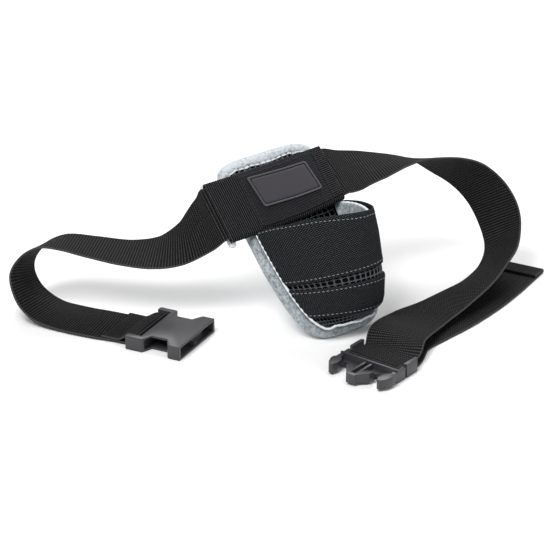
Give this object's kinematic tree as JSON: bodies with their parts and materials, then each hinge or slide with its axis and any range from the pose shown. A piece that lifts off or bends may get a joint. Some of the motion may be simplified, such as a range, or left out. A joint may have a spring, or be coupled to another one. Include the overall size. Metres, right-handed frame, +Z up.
{
  "type": "fishing fighting belt",
  "caption": "Webbing waist belt laid out unfastened, with a padded back plate, a bulging rod-butt pocket under a wide sleeve, and a side-release buckle.",
  "frame": {"origin": "middle of the bounding box in plan, on the surface the belt lies on", "axes": "+Z up from the surface; +X along the unfastened belt, to the side with the plug and the free tail; +Y away from the side the pocket faces"},
  "size_m": [0.467, 0.2702, 0.1263],
  "materials": {
    "webbing": "woven webbing, fine ribs, matte",
    "sleeve_cloth": "heavy ribbed cloth, matte",
    "fleece": "brushed fleece, matte",
    "net": "coarse open net over black backing",
    "label_rubber": "moulded rubber, satin",
    "buckle_plastic": "moulded acetal, fine matte"
  },
  "bodies": {
    "root": {"waist_strap": "webbing", "strap_sleeve": "sleeve_cloth", "sleeve_roll": "fleece", "label_plate": "label_rubber", "back_pad": "fleece", "pad_net": "net", "pocket_lining": "fleece", "pocket_band_upper": "webbing", "pocket_band_lower": "webbing", "pocket_net_middle": "net", "pocket_net_bottom": "net", "buckle_socket": "buckle_plastic", "buckle_plug": "buckle_plastic"}
  },
  "joints": []
}
